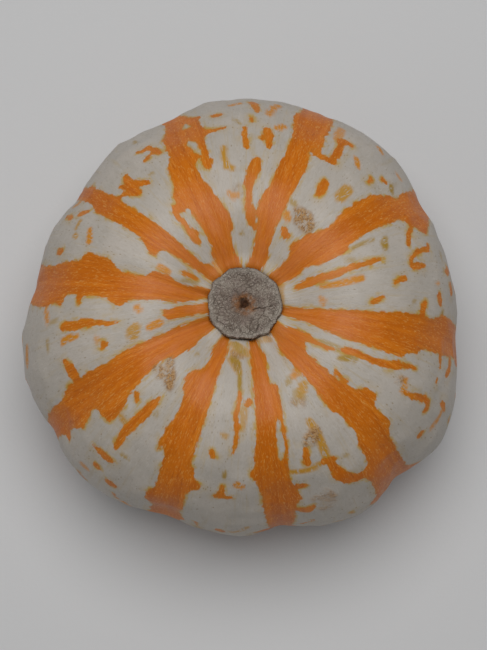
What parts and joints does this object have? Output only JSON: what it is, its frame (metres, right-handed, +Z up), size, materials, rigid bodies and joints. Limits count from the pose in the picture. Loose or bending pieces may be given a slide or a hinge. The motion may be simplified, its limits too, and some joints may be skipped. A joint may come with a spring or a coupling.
{
  "type": "pumpkin",
  "caption": "Small ornamental pumpkin, flattened and softly ribbed, orange stripes and flecks on a cream skin, with a dried corky stem stub in a dished crown; rests on its base.",
  "frame": {"origin": "on the surface that the fruit stands on, under the middle of its outline", "axes": "+Z up through the crown, parallel to the stem's axis; +X and +Y are level, with +Y towards the broadest, furthest reaching ribs"},
  "size_m": [0.1096, 0.111, 0.0643],
  "materials": {
    "fruit_skin": "waxy satin rind, cream with orange stripes in the furrows; stands in for vegetable skin",
    "stem_cork": "dry, matt, corky grey-brown"
  },
  "bodies": {
    "root": {"pumpkin_fruit": "fruit_skin", "stem": "stem_cork"}
  },
  "joints": []
}
